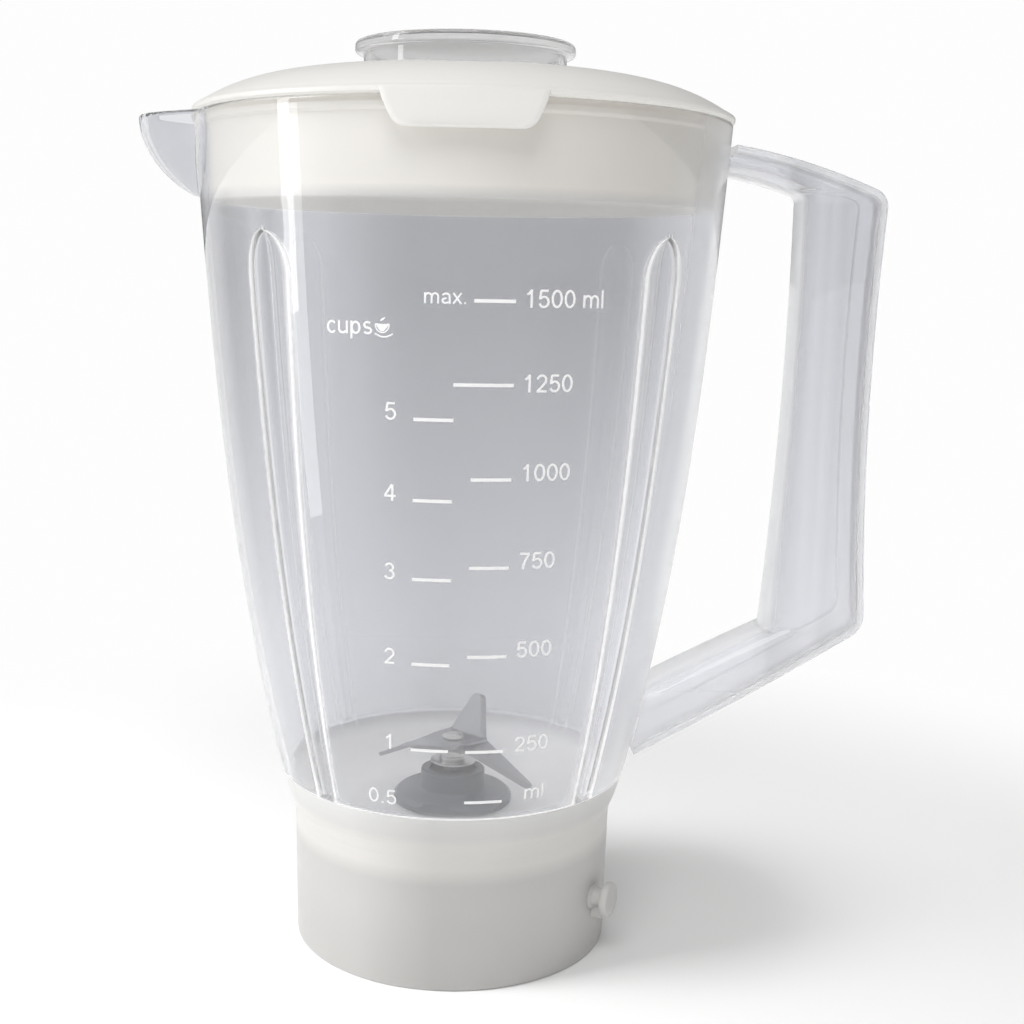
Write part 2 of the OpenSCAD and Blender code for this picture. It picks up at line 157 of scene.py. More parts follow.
def disc_lathe(profile, segments=128):
    """Points and faces of an open (r, z) profile that starts and ends on the axis."""
    inner = profile[1:-1]
    points = turned(inner, segments)
    faces = grid_faces(len(inner), segments, wrap_cols=True)
    for end, row in ((profile[0], 0), (profile[-1], len(inner) - 1)):
        hub = len(points)
        points.append((0, 0, end[1]))
        for k in range(segments):
            a, b = row * segments + k, row * segments + (k + 1) % segments
            faces.append((hub, a, b))
    return points, faces


def make_piece(name, shapes, material, body, replaced=(), angle=35, bevel=0.0, glow=None):
    """One object from several (points, faces) shapes, riding on body and standing for CAD nodes."""
    built = bmesh.new()
    # glow gives each point the strength of its painted edge highlight.
    layer = built.verts.layers.float.new("painted_edge_highlight") if glow else None
    for points, faces in shapes:
        made = [built.verts.new(p) for p in points]
        if glow:
            for vertex, value in zip(made, glow):
                vertex[layer] = value
        for face in faces:
            built.faces.new([made[i] for i in face])
    bmesh.ops.remove_doubles(built, verts=built.verts, dist=1e-7)
    bmesh.ops.recalc_face_normals(built, faces=built.faces)
    mesh = bpy.data.meshes.new(name)
    built.to_mesh(mesh)
    built.free()
    mesh.materials.append(material)
    mesh.polygons.foreach_set("use_smooth", [True] * len(mesh.polygons))
    mesh.set_sharp_from_angle(angle=math.radians(angle))
    piece = bpy.data.objects.new(name, mesh)
    bpy.context.scene.collection.objects.link(piece)
    if bevel:
        edge = piece.modifiers.new("edges", "BEVEL")
        edge.width = bevel
        edge.segments = 3
        edge.limit_method = "ANGLE"
        edge.angle_limit = math.radians(angle)
        edge.harden_normals = True
    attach(piece, body)
    if replaced:
        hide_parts(*replaced)
    return piece


def moved(shape, matrix):
    points, faces = shape
    return [tuple(matrix @ Vector(p)) for p in points], faces


# ---------------------------------------------------------------- material helpers
def new_material(name):
    material = bpy.data.materials.new(name)
    material.use_nodes = True
    material.node_tree.nodes.clear()
    return material, material.node_tree


def surface(tree, shader):
    """Makes that shader output the material's surface."""
    link(tree, shader, add(tree, "ShaderNodeOutputMaterial").inputs[0])


def add(tree, kind, **values):
    """A node of that kind, with its properties and sockets set by name."""
    made = tree.nodes.new(kind)
    for key, value in values.items():
        label = key.replace("_", " ")
        if hasattr(made, key):
            setattr(made, key, value)
        else:
            made.inputs[label].default_value = value
    return made


def link(tree, source, target):
    """Links source to the target socket, or sets the socket when source is a number."""
    if isinstance(source, (int, float)):
        target.default_value = source
    else:
        tree.links.new(source, target)


def noise(tree, scale, detail=3.0, stretch=(1, 1, 1)):
    """Noise in object space; scale is in features per metre."""
    place = add(tree, "ShaderNodeTexCoord")
    mapping = add(tree, "ShaderNodeMapping", Scale=stretch)
    texture = add(tree, "ShaderNodeTexNoise", Scale=scale, Detail=detail)
    link(tree, place.outputs["Object"], mapping.inputs["Vector"])
    link(tree, mapping.outputs["Vector"], texture.inputs["Vector"])
    return texture.outputs["Fac"]


def ramp(tree, source, stops):
    """A colour ramp through (position, colour or grey) stops."""
    made = add(tree, "ShaderNodeValToRGB")
    while len(made.color_ramp.elements) < len(stops):
        made.color_ramp.elements.new(0.5)
    for element, (position, colour) in zip(made.color_ramp.elements, stops):
        element.position = position
        element.color = (*colour, 1) if isinstance(colour, tuple) else (colour, colour, colour, 1)
    link(tree, source, made.inputs["Fac"])
    return made.outputs["Color"]


def height_share(tree, low, high, axis="Z"):
    """0 at height low and 1 at height high, in object space, or the same along another axis."""
    place = add(tree, "ShaderNodeTexCoord")
    split = add(tree, "ShaderNodeSeparateXYZ")
    link(tree, place.outputs["Object"], split.inputs[0])
    share = add(tree, "ShaderNodeMapRange", From_Min=low, From_Max=high)
    link(tree, split.outputs[axis], share.inputs["Value"])
    return share.outputs["Result"]


def bump(tree, source, strength, distance):
    made = add(tree, "ShaderNodeBump", Strength=strength, Distance=distance)
    link(tree, source, made.inputs["Height"])
    return made.outputs["Normal"]


def side_share(tree):
    """0 at the jug's left, 0.5 at its front and back middle and 1 at its right, round the axis."""
    place = add(tree, "ShaderNodeTexCoord")
    flat = add(tree, "ShaderNodeVectorMath", operation="MULTIPLY")
    flat.inputs[1].default_value = (1, 1, 0)
    link(tree, place.outputs["Object"], flat.inputs[0])
    unit = add(tree, "ShaderNodeVectorMath", operation="NORMALIZE")
    link(tree, flat.outputs[0], unit.inputs[0])
    split = add(tree, "ShaderNodeSeparateXYZ")
    link(tree, unit.outputs[0], split.inputs[0])
    share = add(tree, "ShaderNodeMapRange", From_Min=-1)
    link(tree, split.outputs["X"], share.inputs["Value"])
    return share.outputs["Result"]


def math_of(tree, operation, *values, clamp=False):
    """The result of a maths node on outputs and numbers."""
    made = add(tree, "ShaderNodeMath", operation=operation, use_clamp=clamp)
    for value, socket in zip(values, made.inputs):
        link(tree, value, socket)
    return made.outputs[0]


def mixed(tree, share, low, high, blend="MIX"):
    """Colour low where share is 0 and high where it is 1, or their blend of another kind."""
    made = add(tree, "ShaderNodeMix", data_type="RGBA", blend_type=blend)
    for source, name in ((share, "Factor"), (low, 6), (high, 7)):
        link(tree, source, made.inputs[name])
    return made.outputs[2]


def mix_shaders(tree, share, low, high):
    """Shader low where share is 0 and high where it is 1."""
    made = add(tree, "ShaderNodeMixShader")
    for source, socket in zip((share, low, high), made.inputs):
        link(tree, source, socket)
    return made.outputs[0]


def cool(grey):
    """A slightly blue grey."""
    return (grey, grey * 1.01, min(1.0, grey * 1.045))


# Painted light: emission of the milky share, stronger in the jug's bowl and along painted edge highlights.
MILK_GLOW = 0.05
BOWL_GLOW = 0.14
EDGE_GLOW = 0.3


def clear_plastic(name, tint, haze, haze_span, milk_colour, lines=0.0, left_painted_shade_haze=1.0):
    """Moulded clear plastic with a milky share that grows where the wall is seen edge on.

    tint(tree) gives its colour, haze its milky share by height as ramp stops, and haze_span the
    share added face on and edge on.
    """
    material, tree = new_material(name)
    glass = add(tree, "ShaderNodeBsdfPrincipled", Transmission_Weight=1.0, IOR=1.45)
    link(tree, tint(tree), glass.inputs["Base Color"])
    streaks = noise(tree, 60, 4, (1, 1, 0.15))
    link(tree, ramp(tree, streaks, [(0.3, 0.0), (0.75, 0.045)]), glass.inputs["Roughness"])
    ripple = bump(tree, noise(tree, 35, 1, (1, 1, 0.25)), 0.05, 0.0003)
    link(tree, ripple, glass.inputs["Normal"])
    milk = add(tree, "ShaderNodeBsdfPrincipled", Roughness=0.5, Transmission_Weight=0.5, IOR=1.2,
               Emission_Color=(1, 1, 1, 1))
    cloud = noise(tree, 22, 3, (1, 1, 0.4))
    dim = tuple(0.95 * c for c in milk_colour)
    link(tree, ramp(tree, cloud, [(0.3, dim), (0.7, milk_colour)]), milk.inputs["Base Color"])
    facing = add(tree, "ShaderNodeLayerWeight", Blend=0.5)
    share = add(tree, "ShaderNodeMapRange", From_Min=0.25, To_Min=haze_span[0], To_Max=haze_span[1])
    link(tree, facing.outputs["Facing"], share.inputs["Value"])
    # Painted shade: the milky share drops towards the jug's left.
    painted_side_shading = ramp(tree, side_share(tree), [(0.0, left_painted_shade_haze), (0.5, 1.0)])
    sided = math_of(tree, "MULTIPLY", share.outputs["Result"], painted_side_shading)
    height = height_share(tree, 0, RIM_Z)
    total = math_of(tree, "MULTIPLY_ADD", ramp(tree, height, haze), 1.0, sided, clamp=True)
    # Painted glow of the milk, stronger in the jug's bowl.
    inner = ramp(tree, height, [(0.205, BOWL_GLOW), (0.22, MILK_GLOW)])
    # lines adds milk and a painted glow along the painted edge highlights.
    if lines:
        edges = add(tree, "ShaderNodeAttribute", attribute_name="painted_edge_highlight").outputs["Fac"]
        total = math_of(tree, "MULTIPLY_ADD", edges, lines, total, clamp=True)
        inner = math_of(tree, "MULTIPLY_ADD", edges, EDGE_GLOW, inner)
    link(tree, inner, milk.inputs["Emission Strength"])
    let_through = add(tree, "ShaderNodeBsdfTransparent", Color=(0.98, 0.98, 0.98, 1))
    path = add(tree, "ShaderNodeLightPath")
    shader = mix_shaders(tree, total, glass.outputs[0], milk.outputs[0])
    for ray in ("Is Shadow Ray", "Is Diffuse Ray"):
        shader = mix_shaders(tree, path.outputs[ray], shader, let_through.outputs[0])
    surface(tree, shader)
    return material


def solid_plastic(name, dark, light, rough, grain_scale, grain, coat=0.0, glow=0.0, shine=0.5):
    """Moulded opaque plastic with a faint mottle and a fine moulded grain."""
    material, tree = new_material(name)
    body = add(tree, "ShaderNodeBsdfPrincipled", Specular_IOR_Level=shine, Coat_Weight=coat,
               Coat_Roughness=0.12)
    link(tree, ramp(tree, noise(tree, 25, 3), [(0.3, dark), (0.7, light)]), body.inputs["Base Color"])
    wear = noise(tree, 140, 4)
    link(tree, ramp(tree, wear, [(0.2, rough * 0.94), (0.8, rough * 1.06)]), body.inputs["Roughness"])
    link(tree, bump(tree, noise(tree, grain_scale, 4), grain, 0.0002), body.inputs["Normal"])
    # glow paints light into the surface as an emission that grows towards the top.
    if glow:
        body.inputs["Emission Color"].default_value = (1, 1, 1, 1)
        link(tree, ramp(tree, height_share(tree, SEAM_Z, RIM_Z), [(0.0, 0.4 * glow), (0.8, glow)]),
             body.inputs["Emission Strength"])
    surface(tree, body.outputs[0])
    return material


def metal(name, colour, rough, scratch_scale, stretch):
    """Ground or turned metal with fine directional scratches."""
    material, tree = new_material(name)
    body = add(tree, "ShaderNodeBsdfPrincipled", Metallic=1.0)
    lines = noise(tree, scratch_scale, 5, stretch)
    shade = tuple(c * 0.9 for c in colour)
    link(tree, ramp(tree, lines, [(0.3, shade), (0.7, colour)]), body.inputs["Base Color"])
    link(tree, ramp(tree, lines, [(0.3, rough * 0.75), (0.7, rough * 1.3)]), body.inputs["Roughness"])
    link(tree, bump(tree, lines, 0.06, 0.00001), body.inputs["Normal"])
    surface(tree, body.outputs[0])
    return material


def frosted_plastic(name):
    """Milky plastic of the base collar, creamier round its shoulder, with painted shade towards its foot and
    painted light at its left.
    """
    material, tree = new_material(name)
    body = add(tree, "ShaderNodeBsdfPrincipled", Subsurface_Weight=0.3, Subsurface_Radius=(1, 1, 1),
               Subsurface_Scale=0.003)
    # Painted shade by height: darker towards the foot, lighter round the shoulder.
    level = ramp(tree, height_share(tree, 0, SEAM_Z), [
        (0.0, (0.66, 0.65, 0.635)), (0.45, (0.73, 0.72, 0.705)), (0.6, (0.73, 0.72, 0.705)),
        (0.69, (0.90, 0.88, 0.85)), (0.83, (0.90, 0.88, 0.85)), (0.88, (0.84, 0.83, 0.82)),
        (1.0, (0.90, 0.895, 0.89))])
    # Painted light at the collar's left, with painted shade round its front and back.
    painted_side_shading = ramp(tree, side_share(tree),
                 [(0.0, 1.0), (0.22, 0.98), (0.45, 0.80), (0.75, 0.82), (1.0, 0.92)])
    cloud = ramp(tree, noise(tree, 18, 3), [(0.3, 0.94), (0.7, 1.0)])
    shade = mixed(tree, 1.0, mixed(tree, 1.0, painted_side_shading, level, "MULTIPLY"), cloud, "MULTIPLY")
    link(tree, shade, body.inputs["Base Color"])
    link(tree, ramp(tree, noise(tree, 300, 3), [(0.3, 0.32), (0.7, 0.42)]), body.inputs["Roughness"])
    link(tree, bump(tree, noise(tree, 1500, 2), 0.08, 0.0001), body.inputs["Normal"])
    surface(tree, body.outputs[0])
    return material


def jug_tint_with_painted_shade(tree):
    """Blue grey tint with painted shade: darkest in the upper middle, lighter at the sides, towards the foot
    and above the lid's skirt, where painted shade falls towards the right.
    """
    side = side_share(tree)
    # Painted light and shade by side round the jug, up high and low down.
    upper = [(-1.0, 0.50), (-0.945, 0.51), (-0.90, 0.70), (-0.85, 0.57), (-0.79, 0.73), (-0.62, 0.76),
             (-0.50, 0.72), (-0.39, 0.64), (-0.20, 0.59), (0.30, 0.58), (0.62, 0.57), (0.75, 0.60),
             (0.90, 0.86), (1.0, 0.92)]
    lower = [(-1.0, 0.88), (-0.66, 0.79), (-0.07, 0.72), (0.58, 0.74), (0.9, 0.91)]
    high = ramp(tree, side, [((s + 1) / 2, cool(v)) for s, v in upper])
    low = ramp(tree, side, [((s + 1) / 2, cool(v)) for s, v in lower])
    body = mixed(tree, height_share(tree, 0.085, 0.185), low, high)
    # Above the skirt line: painted light at the left, falling off to painted shade at the right.
    clear = ramp(tree, side, [(0.0, cool(0.76)), (0.03, cool(0.80)), (0.06, (0.96, 0.955, 0.945)),
                              (0.42, (0.96, 0.95, 0.93)), (0.60, (0.87, 0.85, 0.825)),
                              (0.85, (0.74, 0.72, 0.695)), (1.0, (0.84, 0.83, 0.82))])
    return mixed(tree, height_share(tree, SKIRT_Z - 1 * MM, SKIRT_Z + 3 * MM), body, clear)


def handle_tint_with_painted_highlights(tree):
    """Greyer towards the top, with painted highlight bands, light and dark, that run along the grip."""
    height = height_share(tree, 0, RIM_Z)
    dark = ramp(tree, height, [(0.25, cool(0.78)), (0.9, cool(0.63))])
    light = ramp(tree, height, [(0.25, cool(0.89)), (0.9, cool(0.79))])
    # Painted highlights: light and dark bands across the grip in X.
    highlight_bands = ramp(tree, height_share(tree, GRIP_HIGHLIGHT_BANDS[0], GRIP_HIGHLIGHT_BANDS[1], "X"),
                 [(0.0, 1.0), (0.06, 0.1), (0.3, 0.3), (0.42, 0.9), (0.5, 1.0), (0.6, 0.3),
                  (0.85, 0.9), (1.0, 1.0)])
    return mixed(tree, highlight_bands, dark, light)


JUG_CLEAR = clear_plastic(
    "jug_clear", jug_tint_with_painted_shade,
    [(0.0, 0.75), (0.2, 0.75), (0.225, 0.10), (0.36, 0.06), (0.6, 0.02), (1.0, 0.0)],
    (0.05, 0.5), (0.95, 0.95, 0.96), 0.85, 0.2)
HANDLE_CLEAR = clear_plastic(
    "handle_clear", handle_tint_with_painted_highlights, [(0.0, 0.35), (0.36, 0.15), (0.5, 0.04), (1.0, 0.0)],
    (0.08, 0.42), (0.94, 0.94, 0.95), 0.8)
CAP_CLEAR = clear_plastic(
    "cap_clear", lambda tree: ramp(tree, noise(tree, 12, 1), [(0.0, 0.77), (1.0, 0.80)]),
    [(0.0, 0.0), (1.0, 0.0)], (0.04, 0.35), (0.93, 0.93, 0.94))
COLLAR_FROSTED = frosted_plastic("collar_frosted")
LID_WHITE = solid_plastic("lid_white", (0.91, 0.895, 0.865), (0.92, 0.905, 0.875), 0.38, 900, 0.02,
                          shine=0.4)
HOLDER_GREY = solid_plastic("holder_grey", (0.12, 0.135, 0.155), (0.145, 0.16, 0.18), 0.26, 1200, 0.08,
                            coat=0.15)
NUT_GREY = solid_plastic("nut_grey", (0.42, 0.44, 0.46), (0.48, 0.5, 0.52), 0.45, 1200, 0.12)
SEAL_RUBBER = solid_plastic("seal_rubber", (0.03, 0.03, 0.032), (0.05, 0.05, 0.052), 0.7, 1600, 0.2)
COUPLING_BLACK = solid_plastic("coupling_black", (0.03, 0.03, 0.033), (0.05, 0.05, 0.055), 0.45, 1200,
                               0.15)
# The print's glow is painted light, standing in for light coming through the clear wall.
PRINT_WHITE = solid_plastic("print_white", (0.90, 0.90, 0.90), (0.96, 0.96, 0.96), 0.5, 2500, 0.1,
                            glow=0.12)
STEEL_BLADE = metal("steel_blade", (0.43, 0.43, 0.435), 0.2, 4000, (1, 0.05, 1))
STEEL_TURNED = metal("steel_turned", (0.78, 0.77, 0.75), 0.24, 4000, (1, 1, 8))
BRONZE = metal("bush_bronze", (0.62, 0.42, 0.22), 0.4, 2500, (1, 1, 1))


# ---------------------------------------------------------------- jug
def flute_share(z):
    """Width share of a flute at height z: 1 up to its shoulder, then a round arch to its point."""
    t = min(1.0, max(0.0, (FLUTE_TOP - z) / FLUTE_ARCH))
    return math.sqrt(1 - (1 - t) ** 2)


def flute_reach(z, reach):
    """Angle from a flute's middle to its edge at height z. Above its point the grid opens again."""
    span = min(1.0, max(0.0, (z - SEAM_Z) / (FLUTE_TOP - FLUTE_ARCH - SEAM_Z)))
    share = flute_share(z) if z < FLUTE_TOP else (z - FLUTE_TOP) / FLUTE_ARCH
    return math.radians(reach[0] + (reach[1] - reach[0]) * span) * min(1.0, max(FLUTE_TIP, share))


def soft_abs(u, soft):
    """|u| with its corner at 0 rounded."""
    return (math.sqrt(u * u + soft * soft) - soft) / (math.sqrt(1 + soft * soft) - soft)


def flute_sink(z, u):
    """Depth of the flute at height z, across it from u = -1 to 1."""
    if z >= FLUTE_TOP or abs(u) >= 1:
        return 0.0
    foot = min(1.0, (z - SEAM_Z) / (1.2 * MM))
    rise = 1 - soft_abs(u, 0.05)
    return FLUTE_DEPTH * flute_share(z) ** 0.8 * foot * rise


def painted_edge_highlight(z, u):
    """Strength of the painted highlight on a flute's edge or crease at height z."""
    if z > FLUTE_TOP + 0.4 * MM or abs(u) > 1.5:
        return 0.0
    line = math.exp(-(((abs(u) - 0.94) / 0.13) ** 2))
    crease = 0.3 * math.exp(-((u / 0.05) ** 2))
    return max(line, crease)


def spout_rise(z, angle):
    """How far the spout stands out from the wall at height z and angle."""
    v = (z - SPOUT_ROOT) / (RIM_Z - SPOUT_ROOT)
    if v <= 0:
        return 0.0
    v = min(1.0, v)
    edge = 70.5 * MM + (SPOUT_TIP - 70.5 * MM) * (1 - (1 - v) ** 2) ** 0.75
    spread = SPOUT_SPREAD * (0.25 + 0.75 * v ** 0.7)
    u = min(1.0, abs(angle - math.pi) / spread)
    bell = (1 - u ** 1.7) ** 1.6
    return max(0.0, edge - jug_radius(z)) * bell


FLUTE_COLUMNS = (-1.16, -1.07, -1.0, -0.93, -0.84, -0.6, -0.35, -0.12, -0.05, 0.0,
                 0.05, 0.12, 0.35, 0.6, 0.84, 0.93, 1.0, 1.07, 1.16)
FLUTE_SPAN = 1.16
PLAIN = 9.0


def column_angles(z):
    """The grid's (angle, flute position, depth share) columns at height z; PLAIN lies between flutes."""
    columns = []
    for i, (degrees, low, high, share) in enumerate(FLUTES):
        centre = math.radians(degrees)
        low, high = flute_reach(z, low), flute_reach(z, high)
        columns += [(centre + (high if u > 0 else low) * u, u, share) for u in FLUTE_COLUMNS]
        begin = centre + high * FLUTE_SPAN
        degrees, low = FLUTES[(i + 1) % len(FLUTES)][:2]
        end = (math.radians(degrees) - flute_reach(z, low) * FLUTE_SPAN - begin) % TAU + begin
        if i == 1:
            spout_low, spout_high = math.pi - SPOUT_SPREAD, math.pi + SPOUT_SPREAD
            stops = (list(np.linspace(begin, spout_low, 9))[1:-1]
                     + list(np.linspace(spout_low, spout_high, 45))
                     + list(np.linspace(spout_high, end, 9))[1:-1])
        else:
            stops = list(np.linspace(begin, end, 37))[1:-1]
        columns += [(a, PLAIN, 0.0) for a in stops]
    return columns


def wall_ring(z, inset, light=1.0):
    """One ring of the jug's wall at height z, inset from its outer face, as (point, painted edge highlight);
    light scales that highlight.
    """
    ring = []
    z_wall = min(z, RIM_Z)
    for angle, u, share in column_angles(z_wall):
        r = jug_radius(z_wall) + spout_rise(z_wall, angle) - inset - share * flute_sink(z_wall, u)
        glow = light * share * painted_edge_highlight(z_wall, u)
        # The front of the seam line gets the full painted highlight.
        if z_wall < SEAM_Z + 0.5 * MM and abs(u) > 1 and math.sin(angle) < 0:
            glow = light
        ring.append(((r * math.cos(angle), r * math.sin(angle), z), glow))
    return ring


def round_ring(r, z, light=0.0):
    return [((r * math.cos(a), r * math.sin(a), z), light) for a, _, _ in column_angles(SEAM_Z)]


def bend(a, b, c, count):
    """Points of a curve from a to c bent towards b, without its two ends."""
    a, b, c = (np.array(p) * MM for p in (a, b, c))
    return [tuple((1 - t) ** 2 * a + 2 * t * (1 - t) * b + t * t * c)
            for t in np.linspace(0, 1, count + 2)[1:-1]]


def wall_heights():
    """Heights of the wall's rings, close together round the flutes' arches and the spout."""
    arch = [FLUTE_TOP - FLUTE_ARCH * (1 - math.cos(turn)) for turn in np.linspace(math.pi / 2, 0.07, 20)]
    return np.concatenate([
        np.linspace(SEAM_Z + 0.3 * MM, SEAM_Z + 1.8 * MM, 5),
        np.linspace(SEAM_Z + 3 * MM, SEAM_Z + 8 * MM, 4),
        np.linspace(SEAM_Z + 10 * MM, FLUTE_TOP - FLUTE_ARCH - 2 * MM, 34), arch,
        np.linspace(FLUTE_TOP + 0.3 * MM, SPOUT_ROOT, 8),
        np.linspace(SPOUT_ROOT + 0.8 * MM, RIM_Z - RIM_ROUND, 20)])


BOWL_R = 28.6 * MM
HOLE_R = 10.3 * MM
HOLE_ROUND = 0.3 * MM
SEAM_IN = 47.5 * MM


def build_jug():
    heights = wall_heights()
    rings = [wall_ring(z, 0) for z in heights]
    turns = np.linspace(0, math.pi / 2, 7)
    rings += [wall_ring(RIM_Z - RIM_ROUND * (1 - math.sin(turn)), RIM_ROUND * (1 - math.cos(turn)))
              for turn in turns[1:]]
    rings += [wall_ring(RIM_Z - RIM_ROUND * (1 - math.cos(turn)), WALL - RIM_ROUND * (1 - math.sin(turn)))
              for turn in turns]
    # The inner face carries weaker painted edge highlights.
    rings += [wall_ring(z, WALL, 0.6) for z in heights[::-1]]
    bowl = bend(((SEAM_R - WALL) / MM, SEAM_Z / MM), (38, 39.5), (BOWL_R / MM, FLOOR_Z / MM), 12)
    under = bend((30, UNDER_Z / MM), (40.5, 38), (SEAM_IN / MM, SEAM_Z / MM), 10)
    foot = bowl + [(r, FLOOR_Z) for r in np.linspace(BOWL_R, HOLE_R + HOLE_ROUND, 5)]
    foot += [(HOLE_R, FLOOR_Z - HOLE_ROUND), (HOLE_R, UNDER_Z + HOLE_ROUND)]
    foot += [(r, UNDER_Z) for r in np.linspace(HOLE_R + HOLE_ROUND, 30 * MM, 4)]
    rings += [round_ring(r, z) for r, z in foot + under + [(SEAM_IN, SEAM_Z)]]
    # A painted highlight round the seam ring.
    rings.append(round_ring(SEAM_R - 0.3 * MM, SEAM_Z, 0.5))
    cols = len(rings[0])
    points = [p for ring in rings for p, _ in ring]
    glow = [g for ring in rings for _, g in ring]
    make_piece("jug_body_shell", [(points, grid_faces(len(rings), cols, True, True))], JUG_CLEAR,
               "jug_body", ["jug"], angle=28, glow=glow)


# ---------------------------------------------------------------- handle
ARM_START = (60, 224.6)
TOP_CORNER = (108.9, 212.8)
GRIP_TOP = (113, 207)
GRIP_LOW = (113.3, 97)
LOW_CORNER = (109.7, 90.1)
HANDLE_FOOT = (40, 49.5)
GAP_START = (60, 216.6)
GAP_CORNER = (88.6, 210.9)
GAP_TOP = (90.8, 208)
GAP_LOW = (86.5, 91.6)
GAP_FOOT = (48, 71.5)


def arc3(a, b, c, count, side=0.0):
    """Points of the arc from a through b to c, in millimetres, moved side to the left of travel."""
    a, b, c = (complex(*p) for p in (a, b, c))
    w = (c - a) / (b - a)
    centre = (b - a) * (w - abs(w) ** 2) / (2j * w.imag) + a
    left = 1 if w.imag > 0 else -1
    radius = abs(a - centre)
    start = np.angle(a - centre)
    sweep = (np.angle(c - centre) - start) % TAU
    if left < 0:
        sweep -= TAU
    turns = start + sweep * np.linspace(0, 1, count)
    points = centre + (radius - left * side) * np.exp(1j * turns)
    return [(p.real, p.imag) for p in points]


def outer_line(side, counts=(26, 9, 40, 9, 34)):
    """The handle's outer edge from the rim to the foot, moved side towards the gap."""
    return (arc3(ARM_START, (86.0, 220.35), TOP_CORNER, counts[0], -side)
            + arc3(TOP_CORNER, (112.0, 210.6), GRIP_TOP, counts[1] + 2, -side)[1:-1]
            + arc3(GRIP_TOP, (111.4, 152), GRIP_LOW, counts[2], -side)
            + arc3(GRIP_LOW, (112.4, 92.9), LOW_CORNER, counts[3] + 2, -side)[1:-1]
            + arc3(LOW_CORNER, (79.9, 71.8), HANDLE_FOOT, counts[4], -side))


def gap_line(side, counts=(26, 9, 40, 9, 34)):
    """The edge of the finger gap, in step with outer_line, moved side towards the outer edge."""
    return (arc3(GAP_START, (76, 214.3), GAP_CORNER, counts[0], side)
            + arc3(GAP_CORNER, (90.3, 210.0), GAP_TOP, counts[1] + 2, side)[1:-1]
            + arc3(GAP_TOP, (90.2, 155), GAP_LOW, counts[2], side)
            + arc3(GAP_LOW, (86.3, 91.1), (85.8, 90.9), counts[3] + 2, side)[1:-1]
            + arc3((85.8, 90.9), (68, 82.2), GAP_FOOT, counts[4], side))


def smooth_line(line):
    """The line with its inner points averaged with their neighbours."""
    line = np.array(line)
    line[1:-1] = 0.25 * line[:-2] + 0.5 * line[1:-1] + 0.25 * line[2:]
    return line


def onto_wall(x, y, z, sunk):
    """x moved out of the jug's wall, where it would lie deeper than sunk in it."""
    r = near_wall(z) - sunk
    return max(x, math.sqrt(max(0.0, r * r - y * y)))


def tube_section(steps, half_width, power):
    """A U-shaped section as (y, share of the way from the gap's edge to the outer edge)."""
    section = []
    for k in range(steps + 1):
        turn = math.pi * k / steps - math.pi / 2
        s, c = math.sin(turn), math.cos(turn)
        y = math.copysign(abs(s) ** power, s) * half_width
        section.append((y, 1 - abs(c) ** power))
    return section


def trimmed(lines):
    """The same stretch of several lines: outside the jug's wall, plus one point at each end."""
    outside = [i for i, p in enumerate(lines[0]) if p[0] * MM > near_wall(p[1] * MM) - 1.2 * MM]
    return [line[outside[0]:outside[-1] + 1] for line in lines]


SUNK = 0.7 * MM


def build_handle_shell():
    outer, gap, inner_gap = trimmed([smooth_line(outer_line(COVER_T / MM)), np.array(gap_line(0)),
                                     np.array(gap_line(SHELL_T / MM))])
    half = HANDLE_WIDTH / 2
    rows, glow = [], []
    count = len(outer)
    for i in range(count):
        row = []
        end = min(i, count - 1 - i)
        flare = 1 + 0.16 * max(0.0, 1 - end / 5) ** 2
        for y, share in tube_section(28, half, 0.62):
            row.append((gap[i] * (1 - share) + outer[i] * share, y))
            # A painted highlight along the edge of the finger gap.
            glow.append(0.25 * math.exp(-(((share - 0.05) / 0.05) ** 2)))
        for y, share in reversed(tube_section(28, half - SHELL_T, 0.62)):
            row.append((inner_gap[i] * (1 - share) + outer[i] * share, y))
            glow.append(0.0)
        rows.append([(onto_wall(p[0] * MM, y * flare, p[1] * MM, SUNK), y * flare, p[1] * MM)
                     for p, y in row])
    points = [p for row in rows for p in row]
    cols = len(rows[0])
    faces = grid_faces(count, cols, False, True)
    half_cols = cols // 2
    for row in (0, count - 1):
        base = row * cols
        for c in range(half_cols - 1):
            faces.append((base + c, base + c + 1, base + cols - 2 - c, base + cols - 1 - c))
    make_piece("handle_grip_shell", [(points, faces)], HANDLE_CLEAR, "jug_body",
               ["handle_shell"], angle=40, glow=glow)


def build_handle_cover():
    outer, inner = trimmed([smooth_line(outer_line(0)), smooth_line(outer_line(COVER_T / MM))])
    w = COVER_WIDTH / 2 / MM
    t = COVER_T / MM
    section = rounded([(-w, 0, 0.7), (w, 0, 0.7), (w, t, 0.9), (-w, t, 0.9)], 4) / MM
    rows = []
    for i in range(len(outer)):
        out = (outer[i] - inner[i]) / t
        row = []
        for y, s in section:
            p = inner[i] + out * (s - 0.35 * (y / w) ** 2 * (s / t))
            row.append((onto_wall(p[0] * MM, y * MM, p[1] * MM, SUNK), y * MM, p[1] * MM))
        rows.append(row)
    make_piece("handle_cover_strip", [tube(rows)], HANDLE_CLEAR, "jug_body",
               ["handle_cover"], angle=40)


# ---------------------------------------------------------------- collar
STUD_ANGLE = math.radians(-27.5)
STUD_Z = 17 * MM


